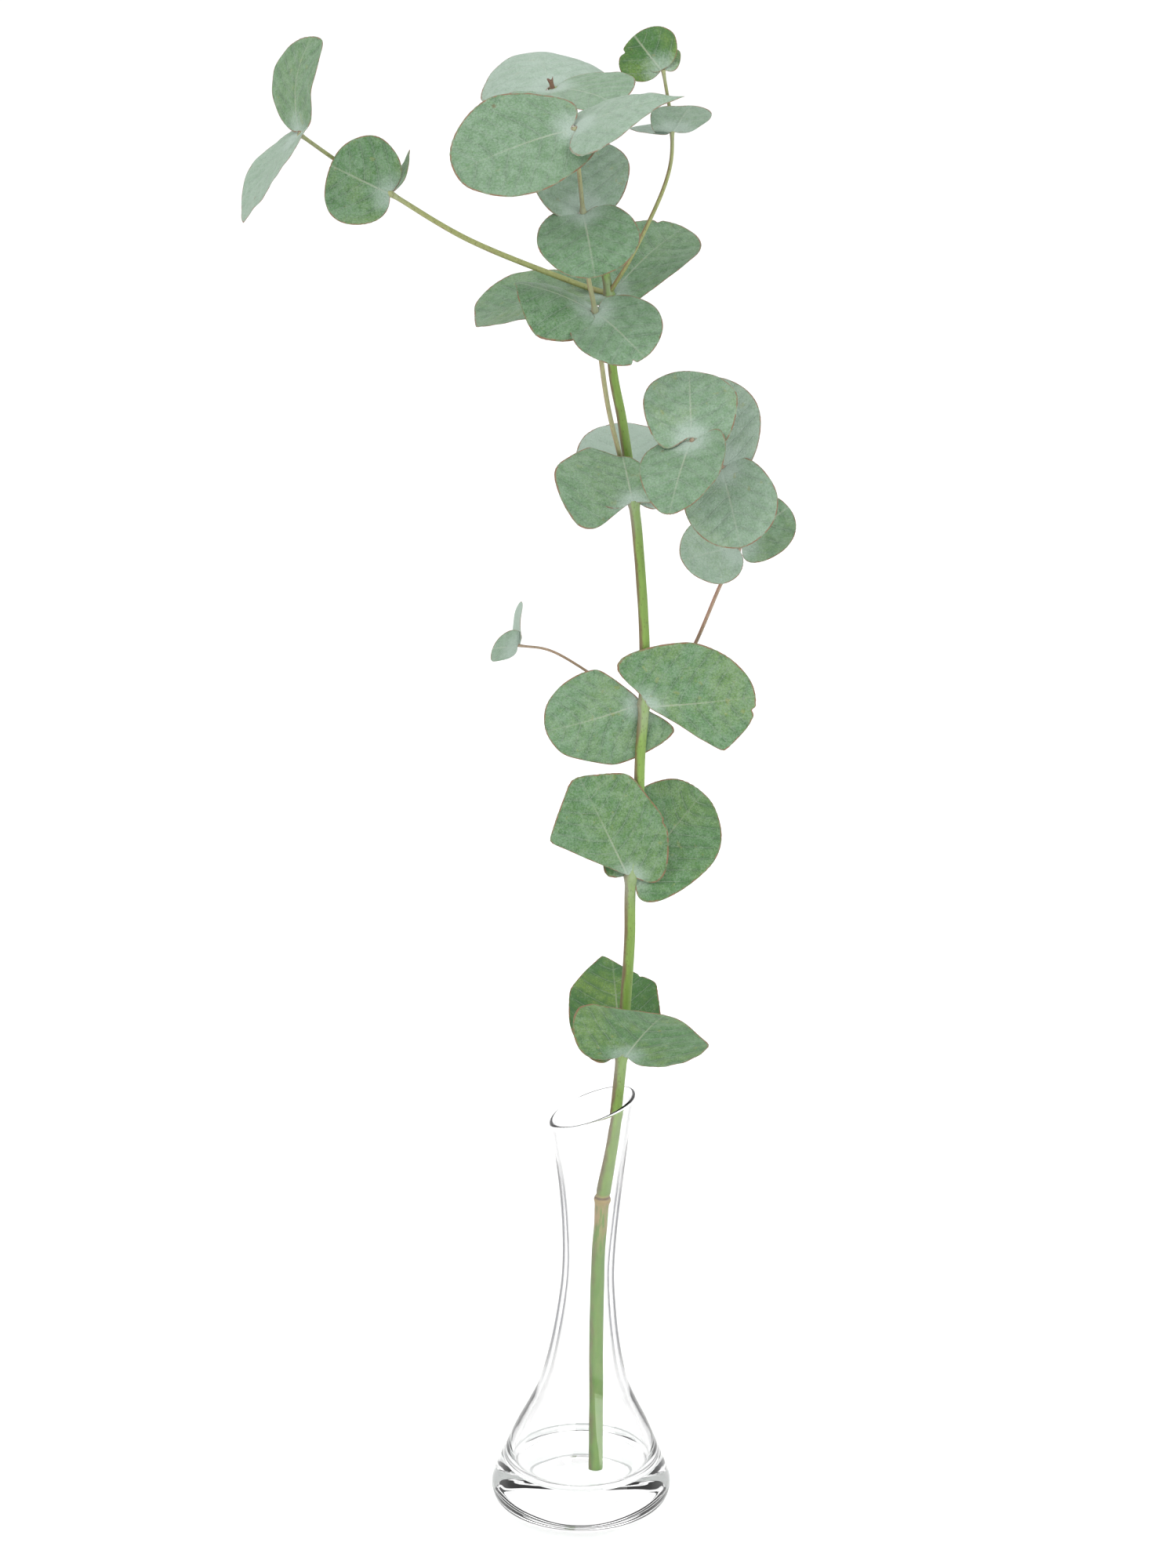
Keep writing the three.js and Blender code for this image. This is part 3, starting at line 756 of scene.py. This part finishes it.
def bark(name, skin, blush, blush_share, wax_share, scar=None):
    """Smooth young bark with streaks, small dark pores, and pale wax near the nodes. The attribute 'bark'
    holds mm along, how far the skin looks towards -X from -1 to 1, and nearness to a node. blush is the
    colour of the side towards -X, and scar the height of an old leaf scar."""
    material, tree, shader = new_material(name)
    skin, blush = colour(skin), colour(blush)
    spot = here(tree)
    _, side, near = split(tree, attribute(tree, "bark"))
    streaks = noise(tree, scaled(tree, spot, (1, 1, 0.16)), 900, 4, 0.6)
    blotches = noise(tree, scaled(tree, spot, (1, 1, 0.5)), 240, 4, 0.6)
    body = blend_colours(tree, between(tree, streaks, 0.3, 0.7, 0, 0.45), skin, darker(skin, 0.6))
    turned = plus(tree, side, times(tree, minus(tree, blotches, 0.5), 1.5))
    blushed = times(tree, between(tree, turned, 0.15, 0.85), blush_share)
    body = blend_colours(tree, blushed, body, blush)
    waxed = times(tree, between(tree, blotches, 0.35, 0.7, 0.3, 1), near)
    body = blend_colours(tree, times(tree, waxed, wax_share), body, colour(STEM_WAX))
    pores = cells(tree, scaled(tree, spot, (1, 1, 0.55)), 1100).outputs["Distance"]
    freckle = between(tree, pores, 0.12, 0.3, 0.34, 0)
    body = blend_colours(tree, freckle, body, darker(blush, 0.42))
    if scar:
        body = leaf_scar(tree, body, spot, streaks, scar)
    tree.links.new(body, shader.inputs["Base Color"])
    finish_of(shader, roughness=0.5, specular_ior_level=0.4)
    emboss(tree, shader, plus(tree, streaks, times(tree, freckle, 0.7)), 0.6, 0.0002)
    return material


# ---------------------------------------------------------------- bottle

def painted_dark_reflection(tree, spot):
    """Share of painted dark reflection where the glass is seen edge-on, times the shares of the bands of
    height and of the lip's band by height over the slanted rim's own plane."""
    facing = place(tree, "LayerWeight", {}, {"Blend": 0.5}).outputs["Facing"]
    sideways, _, height = split(tree, spot)
    level = minus(tree, height, times(tree, minus(tree, sideways, NECK_LEAN * MM), RIM_SLANT))
    edge = between(tree, facing, 0.48, 0.7)
    bands = [(height, band) for band in DARK_REFLECTION_BANDS] + [(level, LIP_DARK_REFLECTION)]
    for measure, (low, high, start, end) in bands:
        edge = times(tree, edge, between(tree, measure, low * MM, high * MM, start, end))
    return edge


def clear_glass():
    """Clear glass with faint waves, with dark reflections painted into its colour where it is seen edge-on.
    Light from the lamps goes straight through.
    """
    material, tree, shader = new_material("clear bottle glass")
    spot = here(tree)
    # Painted dark reflection: the colour darkens where the glass is seen edge-on
    clear_with_painted_reflection = blend_colours(tree, painted_dark_reflection(tree, spot), CLEAR, PAINTED_REFLECTION_DARK)
    tree.links.new(clear_with_painted_reflection, shader.inputs["Base Color"])
    finish_of(shader, roughness=0.0, ior=1.5, transmission_weight=1.0)
    waves = noise(tree, scaled(tree, spot, (1, 1, 0.45)), 55, 2, 0.4)
    emboss(tree, shader, waves, 0.25, 0.0005)
    open_way = place(tree, "BsdfTransparent", {}, {"Color": LIGHT_THROUGH})
    rays = place(tree, "LightPath")
    mixed = place(tree, "MixShader", {}, {0: rays.outputs["Is Shadow Ray"], 1: shader.outputs[0],
                                          2: open_way.outputs[0]})
    output = next(node for node in tree.nodes if node.type == "OUTPUT_MATERIAL")
    tree.links.new(mixed.outputs[0], output.inputs["Surface"])
    return material


def add_bottle(material):
    """A closed profile turned about Z. Then each point rises by slant times x where the rim's slant has
    grown, and moves towards +X by the lean."""
    corners = [*FOOT, *OUTSIDE, *LIP, *INSIDE]
    stretches = len(corners) - 1
    profile = through(corners, np.linspace(0, 1, stretches * STEPS_PER_STRETCH + 1))
    radius, height = np.maximum(profile[1:-1, 0], 0), profile[1:-1, 1]
    height = np.where(radius > 0, np.maximum(height, 0), height)
    turn = round_turn(BOTTLE_SIDES)

    def leaned(x, y, z):
        rise = RIM_SLANT * x * smoothstep(z, SLANT_FROM, RIM_HEIGHT)
        return np.stack([x + NECK_LEAN * smoothstep(z, 0, RIM_HEIGHT), y, z + rise], -1)

    rings = leaned(radius[:, None] * np.cos(turn), radius[:, None] * np.sin(turn),
                   np.repeat(height[:, None], BOTTLE_SIDES, 1))
    poles = leaned(np.zeros(2), np.zeros(2), profile[[0, -1], 1])
    bottle = add_shell("glass_bottle", rings, poles)
    belongs(bottle, material, "bottle")


# ---------------------------------------------------------------- stems

def stem_frame(stem, shares):
    """Middle, radius, tangent and two cross directions of a stem at the shares of its route."""
    route = np.asarray(stem["route"], float)
    middle = through(route, shares)
    ahead = through(route[:, :3], np.clip(shares + TANGENT_STEP, 0, 1))
    behind = through(route[:, :3], np.clip(shares - TANGENT_STEP, 0, 1))
    tangent = unit(ahead - behind)
    brace = np.asarray(stem["brace"], float)
    across = unit(brace - tangent * (tangent @ brace)[:, None])
    return middle[:, :3], middle[:, 3], tangent, across, np.cross(tangent, across)


def outwards(across, up, turn):
    """Directions round a stem: across times the cosine of the turn plus up times its sine."""
    return across[:, None] * np.cos(turn)[None, :, None] + up[:, None] * np.sin(turn)[None, :, None]


def scar_ridge(height):
    """The old leaf scar inside the neck of the bottle: a ridge with a groove above it."""
    above = height - SCAR_HEIGHT
    return 0.45 * bell(above, 1.2) - 0.25 * bell(above - 1.6, 0.6)


def add_stem(name, stem, materials):
    """Rings of the local radius carried along the route. At each node the radius swells by a bell curve
    with a narrow ridge on it, and the outline all along is slightly squared."""
    corners = np.asarray(stem["route"])[:, :3]
    length = np.linalg.norm(np.diff(corners, axis=0), axis=1).sum()
    shares = np.linspace(0, 1, int(length / STEM_STEP) + 1)
    middle, radius, tangent, across, up = stem_frame(stem, shares)
    walked = np.concatenate([[0], np.cumsum(np.linalg.norm(np.diff(middle, axis=0), axis=1))])
    near = np.zeros(len(shares))
    for index in stem["nodes"].values():
        gap = walked - np.interp(index / (len(corners) - 1), shares, walked)
        radius = radius + stem["swell"] * (bell(gap, NODE_LENGTH) + 0.3 * bell(gap, RIDGE_LENGTH))
        near = np.maximum(near, bell(gap, NODE_WAX_LENGTH))
    if name == "main_stem":
        radius = radius + scar_ridge(middle[:, 2])
    turn = round_turn(STEM_SIDES)
    squared = 1 + 0.035 * np.cos(4 * turn)[None, :]
    squared = squared + 0.03 * ripples(walked[:, None], 3 * turn[None, :], 14, 5)
    out = outwards(across, up, turn)
    rings = middle[:, None] + out * (radius[:, None] * squared)[..., None]
    crown = 0.12 * radius[[0, -1]]
    caps = [middle[0] - tangent[0] * crown[0], middle[-1] + tangent[-1] * crown[1]]
    bark_values = np.stack(np.broadcast_arrays(walked[:, None], -out[..., 0], near[:, None]), -1)
    at_caps = [(0, 0, near[0]), (walked[-1], 0, near[-1])]
    shell = add_shell(name + "_bark", rings, caps, {"bark": (bark_values, at_caps)})
    belongs(shell, materials[stem["bark"]], name)


def add_stub(material):
    """The dry stub of the cut leader over the top node: a tube that flares and splits into two prongs."""
    frames = stem_frame(STEMS["main_stem"], np.array([0.5, 1.0]))
    middle, _, tangent, across, up = (part[-1] for part in frames)
    turn = round_turn(STEM_SIDES)
    rise = np.linspace(-0.6, 1, STUB_RINGS)
    radius = 0.95 - 0.25 * smoothstep(rise, -0.6, 0.4) + 0.3 * smoothstep(rise, 0.5, 1)
    split_in = smoothstep(rise, 0.35, 1)[:, None] * np.sin(turn)[None, :] ** 2
    lift = STUB_HEIGHT * rise[:, None] - 0.9 * split_in
    lift = lift + 0.3 * ripples(turn[None, :], rise[:, None], 1.4, 9)
    out = outwards(across[None], up[None], turn)
    rings = middle + tangent * lift[..., None] + out * (radius[:, None] * (1 - 0.35 * split_in))[..., None]
    poles = [middle - tangent * 2.2, middle + tangent * (STUB_HEIGHT - 1.6)]
    bark_values = np.broadcast_to(np.array(STUB_BARK, float), rings.shape)
    stub = add_shell("cut_stub", rings, poles, {"bark": (bark_values, [STUB_BARK] * 2)})
    belongs(stub, material)


# ---------------------------------------------------------------- leaves

def outline(leaf, long, angle):
    """Outline in the leaf's plane, u along the midrib and v across: an oval whose base is drawn back into
    two ears by the square of a sine. A cut pulls in what lies past it: by (1 + x^n)^(-1/n) for x times its
    distance, which rounds its corners."""
    from_base = np.pi - np.abs(angle)
    ear = np.where(angle > 0, leaf["lobes"][0], leaf["lobes"][1])
    slot = math.asin(leaf["ears"] / leaf["wide"])
    past = np.clip((from_base - slot) / (np.pi / 2 - slot), 0, 1)
    back = ear * np.sin(np.pi * past ** leaf["spread"]) ** 2
    tip = leaf["point"] * np.maximum(0, 1 - np.abs(angle) / 0.5) ** 2
    u = long * (0.5 * np.cos(angle) - back + tip)
    v = 0.5 * leaf["wide"] * np.sin(angle) * (1 - leaf["egg"] * np.cos(angle))
    for turn, reach in leaf["cuts"]:
        facing = math.radians(turn)
        out = (u * math.cos(facing) + v * math.sin(facing)) / (0.5 * long)
        share = (1 + (np.maximum(out, 0) / reach) ** CUT_SHARPNESS) ** (-1 / CUT_SHARPNESS)
        u, v = u * share, v * share
    return u, v


def margin_share(name, angle, seed):
    """How far out the margin stands, near 1: fine teeth that come and go, a slow drift, and the bite."""
    teeth = TOOTH_DEPTH * np.sin(MARGIN_TEETH * angle + seed) * ripples(angle, 0, 1.1, seed)
    drift = MARGIN_DRIFT * ripples(angle, 0, 0.8, seed + 1)
    at, depth, width = BITES.get(name, (0, 0, 1))
    return (1 + teeth + drift) * (1 - depth * bell(angle - at, width))


def surface_height(leaf, long, u, v, angle, ring):
    """Height over the leaf's plane: a sine arch along it, a parabola across it, and a waved margin."""
    along, across = u / long + 0.5, 2 * v / leaf["wide"]
    half = 0.5 * leaf["wide"]
    arched = leaf["arch"] * long * np.sin(np.pi * along)
    cupped = leaf["cup"] * half * across**2
    waved = leaf["wave"] * half * ring**2 * np.sin(3 * angle)
    return arched + cupped + waved


def vein_order(u, v, long, seed):
    """A number that is even along each side vein: mm along the midrib, less a power of the mm aside, so
    that the veins bend forwards, plus a slow wander."""
    return u + 0.5 * long - 0.36 * np.abs(v) ** 1.25 + 0.9 * ripples(u, v, 19, seed + 4)


def buckles(u, v, long, ring, order, seed):
    """Soft unevenness that grows towards the margin, less a cosine pleat from side vein to side vein."""
    uneven = 0.45 * ripples(u, v, 17, seed + 2) * ring + 0.25 * ripples(u, v, 7.5, seed + 3) * ring**2
    pleat = np.cos(2 * np.pi * order / VEIN_STEP) * smoothstep(np.abs(v), 0.4, 4) * (1 - ring**5)
    return uneven - PLEAT * min(1, long / FULL_PLEAT_LENGTH) * pleat


def there_and_back(lower, upper):
    """The lower skin's rings from the middle out, and the upper skin's back in; they share the margin."""
    return np.concatenate([lower, upper[-2::-1]])


def add_leaf(name, spec, base, material, seed):
    """Two skins over the outline's scaled copies, which meet at the margin. Their distance is the thickness
    times the root of 1 - ring^8, so the margin is round. The midrib is a groove above and a keel below."""
    leaf = {**PLAIN_LEAF, **spec}
    reach = np.asarray(leaf["reach"], float)
    long = float(np.linalg.norm(reach))
    ahead = reach / long
    up = np.asarray(leaf["face"], float)
    up = unit(up - ahead * (up @ ahead))
    left = np.cross(up, ahead)

    def skin(u, v, height):
        bowed = v + leaf["sweep"] * long * np.sin(np.pi * np.clip(u / long + 0.5, 0, 1))
        return base + ahead * (u + 0.5 * long)[..., None] + left * bowed[..., None] + up * height[..., None]

    x = np.linspace(-1, 1, LEAF_ANGLES, endpoint=False)
    angle = np.pi * (x - CROWDING * np.sin(2 * np.pi * x) / (2 * np.pi))
    share = np.sin(0.5 * np.pi * np.linspace(0, 1, LEAF_RINGS + 1)[1:])[:, None]
    u, v = (share * side * margin_share(name, angle, seed) for side in outline(leaf, long, angle))
    ring = np.broadcast_to(share, u.shape)
    order = vein_order(u, v, long, seed)
    height = surface_height(leaf, long, u, v, angle, ring) + buckles(u, v, long, ring, order, seed)
    rib = bell(v, MIDRIB_WIDTH) * (1 - smoothstep(u / long, -0.2, 0.45)) * (1 - ring**6)
    thick = 0.5 * LEAF_THICK * np.sqrt(np.clip(1 - ring**8, 0, 1))
    lower = skin(u, v, height - thick - MIDRIB_KEEL * rib)
    upper = skin(u, v, height + thick - MIDRIB_GROOVE * rib)
    nil = np.zeros(1)
    middle = surface_height(leaf, long, nil, nil, nil, nil) - POLE_SINK
    poles = [skin(nil, nil, middle + half)[0] for half in (-0.5 * LEAF_THICK, 0.5 * LEAF_THICK)]

    along = u + 0.5 * long
    blade = np.stack([along, v, ring], -1)
    veins = np.stack([order, np.abs(v), np.hypot(along, v)], -1)
    grid = there_and_back(lower, upper)
    values = {
        "blade": (there_and_back(blade, blade), [(0.5 * long, 0, 0)] * 2),
        "look": (np.broadcast_to(np.asarray(LOOKS[name], float), grid.shape), [LOOKS[name]] * 2),
        "veins": (there_and_back(veins, veins), [(0.5 * long, 0, 0.5 * long)] * 2),
    }
    shell = add_shell(name + "_blade", grid, poles, values)
    belongs(shell, material, "leaf_" + name)


def add_leaves(material):
    """Two leaves to a node, each based on the side of the stem that it reaches to, or on its own side."""
    seed = 1
    for stem in STEMS.values():
        for node, index in stem["nodes"].items():
            share = np.array([index / (len(stem["route"]) - 1)])
            middle, radius, tangent, _, _ = (part[0] for part in stem_frame(stem, share))
            for which, spec in LEAVES[node].items():
                side = np.asarray(spec.get("side", spec["reach"]), float)
                side = unit(side - tangent * (side @ tangent))
                seed += SEED_STEP
                fitted = {**spec, "ears": EARS_PER_RADIUS * radius + EARS_SPARE}
                base = middle + side * (radius + LEAF_CLEARANCE)
                add_leaf(f"{node}_{which}", fitted, base, material, seed)


# ---------------------------------------------------------------- stage

def aimed(thing, spot, target):
    """Puts a camera or lamp at a spot in mm, looking at a target."""
    spot, target = np.asarray(spot, float), np.asarray(target, float)
    back = unit(spot - target)
    right = unit(np.cross((0, 0, 1), back))
    columns = np.column_stack([right, np.cross(back, right), back, spot * MM])
    thing.matrix_world = Matrix([*columns.tolist(), [0, 0, 0, 1]])


def add_camera():
    """A long lens in front of the object, a little above it."""
    tilt = math.radians(CAMERA_ELEVATION)
    data = bpy.data.cameras.new("camera")
    data.lens = LENS
    data.sensor_width = SENSOR
    data.clip_start, data.clip_end = 0.05, 60
    camera = add_object("camera", data)
    away = (0, -CAMERA_DISTANCE * math.cos(tilt), CAMERA_DISTANCE * math.sin(tilt))
    aimed(camera, np.add(TARGET, away), TARGET)
    bpy.context.scene.camera = camera


def add_lamp(name, spot, size, power):
    """A soft square lamp: size in mm, power in watts."""
    data = bpy.data.lights.new(name, "AREA")
    data.shape = "SQUARE"
    data.size = size * MM
    data.energy = power
    aimed(add_object(name, data), spot, LAMP_TARGET)


def add_floor():
    """A wide flat sheet, white and matt."""
    material, tree, shader = new_material("white studio floor")
    tone = between(tree, noise(tree, here(tree), 3, 2), 0.3, 0.7, *FLOOR_TONES)
    white = place(tree, "CombineColor", {}, {0: tone, 1: tone, 2: tone})
    tree.links.new(white.outputs[0], shader.inputs["Base Color"])
    finish_of(shader, roughness=0.9, specular_ior_level=0.1)
    mesh = bpy.data.meshes.new("floor")
    corners = [(x * FLOOR_REACH, y * FLOOR_REACH, 0) for x, y in ((-1, -1), (1, -1), (1, 1), (-1, 1))]
    mesh.from_pydata(corners, [], [(0, 1, 2, 3)])
    mesh.materials.append(material)
    add_object("floor", mesh)


def add_sky():
    """White studio surroundings, a little brighter overhead than at the horizon."""
    world = bpy.data.worlds.new("studio")
    world.use_nodes = True
    bpy.context.scene.world = world
    tree = world.node_tree
    tree.nodes.clear()
    rise = split(tree, place(tree, "TexCoord").outputs["Generated"])[2]
    level = between(tree, rise, 0, 0.55, SKY_LOW, SKY_HIGH)
    backdrop = place(tree, "Background", {}, {"Color": (1, 1, 1, 1), "Strength": level})
    output = place(tree, "OutputWorld")
    tree.links.new(backdrop.outputs[0], output.inputs["Surface"])


def add_studio():
    """The camera, the lamps, the floor and the sky, with plain display colours."""
    add_camera()
    for name, lamp in LAMPS.items():
        add_lamp(name, *lamp)
    add_floor()
    add_sky()
    bpy.context.scene.view_settings.view_transform = "Standard"


def add_branch():
    """The stems, the stub and the leaves."""
    barks = {name: bark(name, *look) for name, look in BARKS.items()}
    for name, stem in STEMS.items():
        add_stem(name, stem, barks)
    add_stub(barks["dry stub bark"])
    add_leaves(leaf_skin())


add_studio()
add_bottle(clear_glass())
add_branch()
